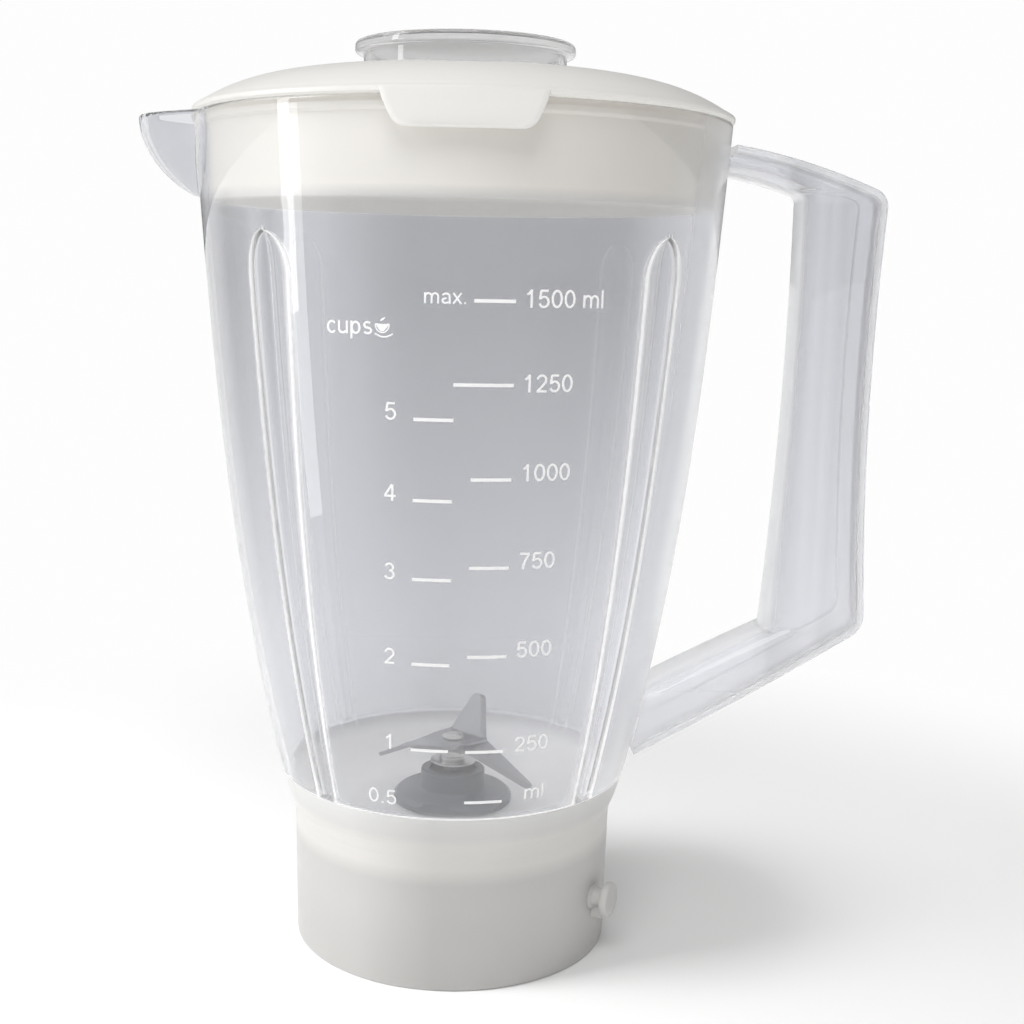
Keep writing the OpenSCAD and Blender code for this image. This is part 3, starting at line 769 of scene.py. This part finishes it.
def build_collar():
    profile = rounded([
        (42.5, 0, 0.5), (44.45, 0, 0.9), (44.97, 36.8, 2.5), (45.25, 39.0, 1.2), (45.6, 40.2, 0.5),
        (46.4, 42.0, 0.8), (47.05, 43.8, 0.5), (48.05, 47.2, 1.5), (48.72, 49.3, 0.35), (47.5, 49.3, 0.2),
        (42.6, 38, 1), (42.6, 35, 0.3), (30, 35, 0.3), (30, 32.6, 0.3), (42.5, 32.6, 0.6)], 4)
    stud = disc_lathe(np.array([
        (0, 0), (3.7, 0), (3.7, 0.9), (3.3, 1.5), (2.75, 1.9), (2.6, 2.6), (2.6, 4.1), (3.1, 4.5),
        (4.3, 4.6), (4.72, 4.85), (4.8, 5.4), (4.75, 6.2), (4.4, 6.65), (3.6, 6.8), (0, 6.8)]) * MM, 40)
    rib_outline = rounded([(-0.9, -5.6, 0.3), (0.9, -5.6, 0.3), (0.9, -1.6, 0.1), (-0.9, -1.6, 0.1)], 3)
    rib = plate(rib_outline, 0.4 * MM, 4.2 * MM)
    place = (Matrix.Rotation(STUD_ANGLE, 4, "Z") @ Matrix.Translation((43.6 * MM, 0, STUD_Z))
             @ Matrix(((0, 0, 1, 0), (1, 0, 0, 0), (0, 1, 0, 0), (0, 0, 0, 1))))
    make_piece("base_collar_ring", [lathe(profile, 160), moved(stud, place), moved(rib, place)],
               COLLAR_FROSTED, "jug_body", ["base_collar"], angle=38)


# ---------------------------------------------------------------- lid and filler cap
DOME_Z = 229.3 * MM
DOME_H = 9.5 * MM
TAB_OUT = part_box("lid")[1].y
TAB_LOW = 220.5 * MM
TAB_HALF = 19.5 * MM


def dome(r):
    return DOME_Z + DOME_H * (1 - max(0.0, (r - 28 * MM) / (43.7 * MM)) ** 3.2)


def scoop(x, y):
    """Depth of the shallow finger scoop in the dome, behind each grip tab."""
    across, along = x / (10.5 * MM), (abs(y) - 47 * MM) / (7 * MM)
    d = across * across + along * along
    return 1.1 * MM * max(0.0, 1 - d) ** 0.6 if d < 1 else 0.0


def build_lid():
    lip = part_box("lid")[1].x / MM
    outer = rounded([(lip, 228.1, 0.35), (lip, 229.35, 0.6), (lip - 1.5, 230.3, 1.2)], 4)
    dome_r = np.linspace(70.0, 31.2, 60) * MM
    top = np.array([(r, dome(r) + 0.1 * MM) for r in dome_r])
    ring = rounded([(30.6, 239.0, 0.3), (30.2, 240.2, 0.6), (28.0, 240.2, 0.6), (27.5, 239.0, 0.3),
                    (27.5, 222, 0.2), (25, 222, 0.2), (25, 220.5, 0.3), (29.3, 220.5, 0.5)], 4)
    under_r = np.linspace(29.3, 65.4, 16) * MM
    under = np.array([(r, dome(r) - 2.2 * MM) for r in under_r])
    foot = SKIRT_Z / MM
    skirt = rounded([(65.8, 228, 0.8), (65.8, foot, 0.5), (67.8, foot, 0.6), (67.8, 224.6, 0.3),
                     (69.1, 225.2, 0.4), (69.1, 226.6, 0.4), (68.4, 227.2, 0.2), (68.4, 228.05, 0.2)], 4)
    profile = np.concatenate([outer, top, ring, under, skirt])
    points, faces = lathe(profile, 256)
    dented = []
    for x, y, z in points:
        r = math.hypot(x, y)
        if 30.8 * MM < r < 69 * MM and z > dome(r) - 1 * MM:
            z -= scoop(x, y)
        dented.append((x, y, z))
    make_piece("lid_dome", [(dented, faces)] + [grip_tab(side) for side in (-1, 1)], LID_WHITE,
               "lid_body", ["lid"], angle=35)


def grip_tab(side):
    """A curved tab that hangs from the lip outside the jug's rim."""
    half, low, high = TAB_HALF / MM, TAB_LOW / MM, 229.0
    outline = rounded([(-half, high, 0), (-half + 0.8, 226.4, 1.5), (-half + 3.6, low, 4.8),
                       (half - 3.6, low, 4.8), (half - 0.8, 226.4, 1.5), (half, high, 0)], 8)
    centre = np.array([0, (TAB_LOW + high * MM) / 2])
    out_r, in_r = TAB_OUT, TAB_OUT - 2.45 * MM
    soft = 0.8 * MM
    loops = [(in_r, 3 * MM), (in_r, 0.0), (out_r - soft, 0.0), (out_r - 0.3 * soft, 0.3 * soft),
             (out_r, soft), (out_r, 2.2 * soft)]
    rows = []
    for r, inset in loops:
        row = []
        for p in outline:
            to_centre = centre - p
            q = p + to_centre / max(1e-9, np.linalg.norm(to_centre)) * inset
            if p[1] > high * MM - 0.01 * MM:
                q = np.array([q[0], p[1]])
            a = -math.pi / 2 + q[0] / r
            row.append((r * math.cos(a), r * math.sin(a) * -side, q[1]))
        rows.append(row)
    return tube(rows)


def build_cap():
    top = top_of("filler_cap") / MM
    foot = foot_of("filler_cap") / MM
    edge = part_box("filler_cap")[1].x / MM
    wall = rounded([(26.4, 247.2, 0.4), (26.8, top, 0.35), (edge, top, 1.1), (edge, 245.2, 1.0),
                    (27.1, 245.2, 0.5), (27.1, foot, 0.5), (25.3, foot, 0.5), (25.3, 245.3, 1.2)], 5)
    profile = np.concatenate([[(0, 247.2 * MM)], wall, [(0, 245.3 * MM)]])
    make_piece("filler_cap_cup", [disc_lathe(profile, 160)], CAP_CLEAR, "cap_body",
               ["filler_cap"], angle=35)


# ---------------------------------------------------------------- blade unit
def build_holder():
    profile = rounded([
        (5.0, 24.2, 0.2), (10, 24.2, 0.5), (10, 38.3, 0.2), (17, 38.3, 0.3), (17, 39.9, 0.4),
        (15.6, 41.1, 0.5), (9.8, 41.5, 0.5), (9.2, 42.0, 0.4), (9.2, 47.3, 0.7), (6.6, 47.3, 0.5),
        (6.6, 44.4, 0.2), (5, 44.4, 0.2)], 4)
    points, faces = lathe(profile, 144)
    shaped = []
    for x, y, z in points:
        if z > 38 * MM:
            for degrees in (75, 255):
                a = math.radians(degrees)
                flat = x * math.cos(a) + y * math.sin(a) - 15.5 * MM
                if flat > 0:
                    x, y = x - flat * math.cos(a), y - flat * math.sin(a)
            for k in range(4):
                a = math.radians(38 + 90 * k)
                d = math.hypot(x - 12.6 * MM * math.cos(a), y - 12.6 * MM * math.sin(a))
                if d < 1.6 * MM and z > 40.5 * MM:
                    z -= 0.7 * MM
        shaped.append((x, y, z))
    make_piece("blade_holder_body", [(shaped, faces)], HOLDER_GREY, "blade_unit",
               ["blade_holder"], angle=30)


BLADE_T = 1.1 * MM


def wing(root, length, w0, w1, tilt):
    """A bent-up or bent-down wing with a ground cutting edge, along +X."""
    sections = []
    for s in np.linspace(0, 1, 17):
        x = length * s
        half = (w0 + (w1 - w0) * s) / 2
        if s > 0.93:
            half *= math.sqrt(max(0.05, 1 - ((s - 0.93) / 0.07) ** 2 * 0.6))
        sections.append([(x, -half, 0.2), (x, -half + 1.5, 1.0), (x, half - 0.3, 1.0), (x, half, 0.7),
                         (x, half - 0.3, 0.0), (x, -half + 0.4, 0.0)])
    turn = Matrix.Translation((root * MM, 0, 0)) @ Matrix.Rotation(-math.radians(tilt), 4, "Y")
    return tube([[tuple(turn @ Vector((x * MM, y * MM, z * BLADE_T))) for x, y, z in row]
                 for row in sections])


def place_blade(shapes, angle, z):
    matrix = Matrix.Translation((0, 0, z)) @ Matrix.Rotation(math.radians(angle), 4, "Z")
    return [moved(shape, matrix) for shape in shapes]


def build_blades():
    lower_hub = rounded([(-8.6, -5.6, 0.5), (0, -6.4, 3), (8.6, -5.6, 0.5), (8.6, 5.6, 0.5), (0, 6.4, 3),
                         (-8.6, 5.6, 0.5)], 4)
    half_turn = Matrix.Rotation(math.pi, 4, "Z")
    wings = wing(8.2, 19, 11.2, 3.0, -25.5)
    lower = [plate(lower_hub, 0, BLADE_T), wings, moved(wings, half_turn)]
    hub_top = top_of("blade_spacer")
    make_piece("lower_blade_plate", place_blade(lower, -32, hub_top), STEEL_BLADE, "blade_spindle",
               ["lower_blade"], angle=30, bevel=0.08 * MM)
    upper_hub = rounded([(-8.0, -5.8, 0.4), (0, -7.2, 3), (6.6, -7.3, 0.3), (6.6, 7.3, 0.3), (0, 7.2, 3),
                         (-8.0, 5.8, 0.4)], 4)
    upper = [plate(upper_hub, 0, BLADE_T), wing(6.4, 12.6, 14.6, 4.4, 68),
             moved(wing(7.6, 10.5, 11.6, 5.4, 12), half_turn)]
    make_piece("upper_blade_plate", place_blade(upper, 45, hub_top + BLADE_T), STEEL_BLADE, "blade_spindle",
               ["upper_blade"], angle=30, bevel=0.08 * MM)


def build_hub():
    base = foot_of("blade_rivet") / MM
    rivet = rounded([(3.2, base, 0.1), (3.25, base + 0.5, 0.25), (2.5, base + 1.15, 0.5)], 4)
    rivet = np.concatenate([[(0, base * MM)], rivet, [(0, (base + 1.3) * MM)]])
    low, high = foot_of("blade_spacer") / MM, top_of("blade_spacer") / MM
    spacer = rounded([(2.2, low, 0.1), (3.9, low, 0.3), (3.9, low + 1.2, 0.2), (3.7, low + 1.4, 0.2),
                      (3.7, high - 0.5, 0.2), (3.9, high - 0.3, 0.1), (3.9, high, 0.1), (2.2, high, 0.1)], 3)
    low, high = foot_of("splash_washer") / MM, top_of("splash_washer") / MM
    washer = rounded([(2.2, low, 0.1), (6.5, low, 0.2), (6.5, high, 0.2), (2.2, high, 0.1)], 3)
    for name, shape, node in (("blade_rivet_head", disc_lathe(rivet, 48), "blade_rivet"),
                              ("blade_spacer_hub", lathe(spacer, 64), "blade_spacer"),
                              ("splash_washer_disc", lathe(washer, 96), "splash_washer")):
        make_piece(name, [shape], STEEL_TURNED, "blade_spindle", [node], angle=40)


def dress_hidden():
    """Procedural materials for the inner CAD parts that keep their own shape."""
    wear = {"floor_seal": SEAL_RUBBER, "shaft_seal": SEAL_RUBBER, "thrust_washer": SEAL_RUBBER,
            "upper_bush": BRONZE, "lower_bush": BRONZE, "coupling_insert": BRONZE,
            "blade_shaft": STEEL_TURNED, "circlip": STEEL_TURNED,
            "locking_nut": NUT_GREY, "drive_coupling": COUPLING_BLACK}
    for node, material in wear.items():
        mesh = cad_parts[node].data
        mesh.materials.clear()
        mesh.materials.append(material)


# ---------------------------------------------------------------- printed scale
DIGIT_HIGH = 4.2 * MM
INK_LIFT = 0.06 * MM
INK_T = 0.08 * MM
ML_LINES = (54.7, 69.2, 95.2, 118.2, 140.1, 182.2)
CUP_LINES = (69.4, 92.9, 115, 134.7, 154.3)


def on_wall(s, z, lift):
    """A point on the jug's front at arc length s from its middle."""
    r = jug_radius(z) + INK_LIFT + lift
    a = -math.pi / 2 + s / jug_radius(z)
    return (r * math.cos(a), r * math.sin(a), z)


def arc_of(x, z):
    """Arc length round the wall from its front middle to the place at x."""
    r = jug_radius(z)
    return r * math.asin(x / r)


def ink_line(x0, x1, z):
    """A printed line as a thin curved slab."""
    z, high = z * MM, 0.4 * MM
    s0, s1 = arc_of(x0 * MM, z), arc_of(x1 * MM, z)
    loop = [(-high, 0), (high, 0), (high, INK_T), (-high, INK_T)]
    return tube([[on_wall(s, z + dz, lift) for dz, lift in loop] for s in np.linspace(s0, s1, 12)])


def arc_path(x, y, rx, ry, begin, end, count=14):
    """Points of an elliptic arc between two angles in degrees."""
    return [(x + rx * math.cos(math.radians(a)), y + ry * math.sin(math.radians(a)))
            for a in np.linspace(begin, end, count)]


X_HIGH = 0.72
PEN = 0.122
# Each character's width and pen strokes, for a digit one unit high
GLYPHS = {
    "0": (0.776, [arc_path(0.36, 0.5, 0.27, 0.445, 0, 360, 33)]),
    "1": (0.776, [[(0.42, 0), (0.42, 0.99)], [(0.17, 0.72), (0.3, 0.8), (0.42, 0.97)]]),
    "2": (0.776, [arc_path(0.36, 0.69, 0.255, 0.255, 172, -30) + [(0.3, 0.24), (0.11, 0.06)],
                  [(0.07, 0.055), (0.65, 0.055)]]),
    "3": (0.776, [arc_path(0.34, 0.73, 0.225, 0.215, 165, -88),
                  arc_path(0.34, 0.285, 0.265, 0.235, 88, -165)]),
    "4": (0.776, [[(0.5, 0), (0.5, 0.95)], [(0.47, 0.95), (0.06, 0.3)], [(0.03, 0.285), (0.7, 0.285)]]),
    "5": (0.776, [[(0.61, 0.94), (0.17, 0.94)], [(0.19, 0.95), (0.12, 0.47)],
                  arc_path(0.36, 0.33, 0.27, 0.28, 138, -160, 18)]),
    "7": (0.776, [[(0.07, 0.93), (0.66, 0.93)], [(0.64, 0.9), (0.46, 0.62), (0.33, 0.3), (0.27, 0)]]),
    ".": (0.388, [[(0.13, 0.06), (0.25, 0.06)]]),
    " ": (0.36, []),
    "m": (1.16, [[(0.12, 0), (0.12, X_HIGH)],
                 arc_path(0.345, 0.46, 0.215, 0.215, 180, 0) + [(0.56, 0.2), (0.56, 0)],
                 arc_path(0.785, 0.46, 0.215, 0.215, 180, 0) + [(1.0, 0.2), (1.0, 0)]]),
    "l": (0.31, [[(0.14, 0), (0.14, 1)]]),
    "c": (0.68, [arc_path(0.35, 0.355, 0.25, 0.31, 42, 318, 22)]),
    "u": (0.776, [[(0.13, X_HIGH), (0.13, 0.3)] + arc_path(0.355, 0.27, 0.225, 0.225, 180, 330),
                  [(0.62, 0), (0.62, X_HIGH)]]),
    "p": (0.776, [[(0.13, -0.27), (0.13, X_HIGH)], arc_path(0.385, 0.355, 0.235, 0.31, 0, 360, 25)]),
    "s": (0.68, [arc_path(0.32, 0.515, 0.185, 0.155, 35, 250, 12)
                 + arc_path(0.33, 0.205, 0.215, 0.15, 80, -155, 14)]),
    "a": (0.776, [arc_path(0.36, 0.5, 0.235, 0.17, 165, 0) + [(0.6, 0.3), (0.61, 0)],
                  arc_path(0.335, 0.2, 0.22, 0.15, 75, 330, 16)]),
    "x": (0.66, [[(0.06, X_HIGH), (0.6, 0)], [(0.06, 0), (0.6, X_HIGH)]]),
}


def lettering(text, x, z, high=DIGIT_HIGH):
    """Pen strokes of generic scale lettering. x is its left end and z its baseline, in millimetres."""
    strokes = []
    along = 0.0
    unit = high / MM
    for letter in text:
        width, paths = GLYPHS[letter]
        for path in paths:
            scaled = [((along + px) * unit, py * unit) for px, py in path]
            strokes.append(stroke(scaled, [PEN * unit] * len(scaled), x, z))
        along += width
    return strokes


def stroke(path, width, x, z):
    """A printed stroke along a path of (s, height) points, in millimetres, from (x, z)."""
    path = [np.array(p, float) for p in path]
    closed = np.linalg.norm(path[0] - path[-1]) < 1e-6
    s0 = arc_of(x * MM, z * MM)
    rows = []
    last = len(path) - 1
    for i, p in enumerate(path):
        before = path[last - 1] if closed and i == 0 else path[max(i - 1, 0)]
        after = path[1] if closed and i == last else path[min(i + 1, last)]
        ahead = after - before
        across = np.array([-ahead[1], ahead[0]]) / np.linalg.norm(ahead) * width[i] / 2
        a, b = p - across, p + across
        rows.append([on_wall(s0 + q[0] * MM, (z + q[1]) * MM, lift) for q, lift in
                     ((a, 0), (b, 0), (b, INK_T), (a, INK_T))])
    if not closed:
        return tube(rows)
    rows.pop()
    return [q for row in rows for q in row], grid_faces(len(rows), 4, True, True)


def cup_icon(x, z):
    """A plain cup on a saucer with a wisp of steam."""
    turns = np.linspace(math.pi, TAU, 13)
    bowl = [(1.9 + 1.7 * math.cos(t), 2.7 + 1.9 * math.sin(t)) for t in turns]
    level = [(0.2, 2.75), (1.9, 2.6), (3.6, 2.75)]
    saucer = [(0.1 + 0.4 * k, 0.55 - 0.75 * math.sin(math.pi * k / 11)) for k in range(12)]
    steam = [(1.4 + 0.25 * k, 3.5 + 0.16 * k) for k in range(6)]
    body = [(1.9, 2.5 - 0.2 * k) for k in range(8)]
    return [stroke(bowl, [0.3] * 13, x, z), stroke(level, [0.35] * 3, x, z),
            stroke(saucer, [0.35] * 12, x, z), stroke(steam, [0.15, 0.4, 0.5, 0.45, 0.3, 0.12], x, z),
            stroke(body, [2.9, 2.7, 2.45, 2.15, 1.85, 1.5, 1.1, 0.6], x, z)]


def build_scale():
    shapes = [ink_line(3, 12.6, z) for z in ML_LINES] + [ink_line(-10.7, -1.3, z) for z in CUP_LINES]
    shapes.append(ink_line(-1.5, 12.6, 162.7))
    for text, x, z in (("250", 15.3, 69.2), ("500", 15.0, 95.2), ("750", 14.9, 118.2), ("1000", 14.8, 140.1),
                       ("1250", 14.6, 161.5), ("1500 ml", 14.5, 181.2)):
        shapes += lettering(text, x, z - 0.4)
    shapes += lettering("ml", 18.2, 54.6)
    shapes += lettering("max.", -8.7, 181.4, 3.45 * MM)
    shapes += lettering("cups", -31.5, 173.9)
    for k, z in enumerate(CUP_LINES):
        shapes += lettering(str(k + 1), -17.6, z - 0.3)
    shapes += lettering("0.5", -21.6, 53.0)
    shapes += cup_icon(-20.0, 173.6)
    make_piece("printed_scale", shapes, PRINT_WHITE, "jug_body", ["scale_marks"], angle=30)


# ---------------------------------------------------------------- stage, light and camera
FLOOR_FADE = (0.15, 0.34)
FLOOR_SIZE = 30.0
WHITE = 0.985
WORLD_BASE = 0.06
WORLD_TOP = 0.43
WORLD_LEFT = 0.18


def build_stage():
    """A pale floor that turns into plain white away from the object, in a studio lit from above and left."""
    material, tree = new_material("floor")
    paint = add(tree, "ShaderNodeBsdfPrincipled", Roughness=0.9, Specular_IOR_Level=0.1,
                Emission_Color=(1, 1, 1, 1), Emission_Strength=0.03)
    link(tree, ramp(tree, noise(tree, 3, 2), [(0.0, 0.93), (1.0, 0.94)]), paint.inputs["Base Color"])
    white = add(tree, "ShaderNodeEmission", Strength=WHITE)
    place = add(tree, "ShaderNodeTexCoord")
    away = add(tree, "ShaderNodeVectorMath", operation="LENGTH")
    link(tree, place.outputs["Object"], away.inputs[0])
    fade = add(tree, "ShaderNodeMapRange", interpolation_type="SMOOTHSTEP",
               From_Min=FLOOR_FADE[0], From_Max=FLOOR_FADE[1])
    link(tree, away.outputs["Value"], fade.inputs["Value"])
    surface(tree, mix_shaders(tree, fade.outputs["Result"], paint.outputs[0], white.outputs[0]))
    mesh = bpy.data.meshes.new("floor")
    corners = [(x * FLOOR_SIZE, y * FLOOR_SIZE, 0) for x, y in ((-1, -1), (1, -1), (1, 1), (-1, 1))]
    mesh.from_pydata(corners, [], [(0, 1, 2, 3)])
    mesh.materials.append(material)
    floor = bpy.data.objects.new("floor", mesh)
    bpy.context.scene.collection.objects.link(floor)
    build_world()


def build_world():
    """White where it is seen, directly or through clear plastic; dimmer and directional as a light."""
    world = bpy.data.worlds.new("studio")
    bpy.context.scene.world = world
    world.use_nodes = True
    tree = world.node_tree
    split = add(tree, "ShaderNodeSeparateXYZ")
    link(tree, add(tree, "ShaderNodeTexCoord").outputs["Generated"], split.inputs[0])
    total = WORLD_BASE
    for axis, sign, weight in (("Z", 1, WORLD_TOP), ("X", -1, WORLD_LEFT)):
        part = add(tree, "ShaderNodeMapRange", From_Min=0, From_Max=sign, To_Max=weight)
        link(tree, split.outputs[axis], part.inputs["Value"])
        total = math_of(tree, "ADD", part.outputs["Result"], total)
    path = add(tree, "ShaderNodeLightPath").outputs
    seen = math_of(tree, "MAXIMUM", path["Is Camera Ray"], path["Is Transmission Ray"])
    strength = math_of(tree, "MAXIMUM", math_of(tree, "MULTIPLY", seen, WHITE), total)
    background = tree.nodes["Background"]
    background.inputs["Color"].default_value = (1, 1, 1, 1)
    link(tree, strength, background.inputs["Strength"])


def soft_light(name, place, aim, size, power, only_gloss=False):
    lamp = bpy.data.lights.new(name, "AREA")
    lamp.shape = "RECTANGLE"
    lamp.size, lamp.size_y = size
    lamp.energy = power
    holder = bpy.data.objects.new(name, lamp)
    holder.location = place
    holder.rotation_euler = (Vector(aim) - Vector(place)).to_track_quat("-Z", "Y").to_euler()
    holder.visible_camera = False
    holder.visible_transmission = False
    holder.visible_diffuse = not only_gloss
    bpy.context.scene.collection.objects.link(holder)
    return holder


def build_lights():
    middle = (0, 0, 0.12)
    soft_light("key", (-1.05, -0.20, 0.80), middle, (0.7, 0.7), 5.3)
    soft_light("front", (-0.10, -0.75, 1.05), middle, (0.7, 0.7), 4.8)
    low_key = soft_light("low_key", (-1.05, -0.30, 0.75), middle, (0.5, 0.5), 9)
    only_floor = bpy.data.collections.new("only_floor")
    only_floor.objects.link(bpy.data.objects["floor"])
    low_key.light_linking.receiver_collection = only_floor
    soft_light("left_strip", (-1.025, -0.256, 0.45), middle, (0.13, 1.3), 3.4, only_gloss=True)
    soft_light("near_strip", (-0.34, -0.14, 0.12), (0, 0, 0.12), (0.045, 0.22), 0.12, only_gloss=True)


CAMERA_BACK = 414.2 * MM
CAMERA_HIGH = 190.5 * MM
CAMERA_PITCH = 0.1644
CAMERA_YAW = 0.0181
CAMERA_ROLL = 0.0207
CAMERA_LENS = 52.5
CAMERA_SHIFT = 0.0272


def build_camera():
    camera = bpy.data.cameras.new("camera")
    camera.sensor_width = 36
    camera.lens = CAMERA_LENS
    camera.shift_x = CAMERA_SHIFT
    camera.clip_start = 0.02
    level = math.cos(CAMERA_PITCH)
    ahead = Vector((math.sin(CAMERA_YAW) * level, math.cos(CAMERA_YAW) * level, -math.sin(CAMERA_PITCH)))
    right = Vector((math.cos(CAMERA_YAW), -math.sin(CAMERA_YAW), 0))
    above = right.cross(ahead)
    roll_right = math.cos(CAMERA_ROLL) * right + math.sin(CAMERA_ROLL) * above
    roll_above = -math.sin(CAMERA_ROLL) * right + math.cos(CAMERA_ROLL) * above
    turned = Matrix((roll_right, roll_above, -ahead)).transposed()
    holder = bpy.data.objects.new("camera", camera)
    holder.matrix_world = Matrix.Translation((0, -CAMERA_BACK, CAMERA_HIGH)) @ turned.to_4x4()
    bpy.context.scene.collection.objects.link(holder)
    bpy.context.scene.camera = holder


def set_look():
    scene = bpy.context.scene
    scene.view_settings.view_transform = "Standard"
    cycles = scene.cycles
    cycles.use_denoising = True
    cycles.max_bounces = 24
    cycles.transmission_bounces = 20
    cycles.transparent_max_bounces = 32
    cycles.glossy_bounces = 8
    cycles.diffuse_bounces = 5
    cycles.caustics_reflective = False
    cycles.caustics_refractive = False


for build in (build_camera, build_jug, build_handle_shell, build_handle_cover, build_collar, build_lid,
              build_cap, build_holder, build_blades, build_hub, build_scale, dress_hidden, build_stage,
              build_lights, set_look):
    build()
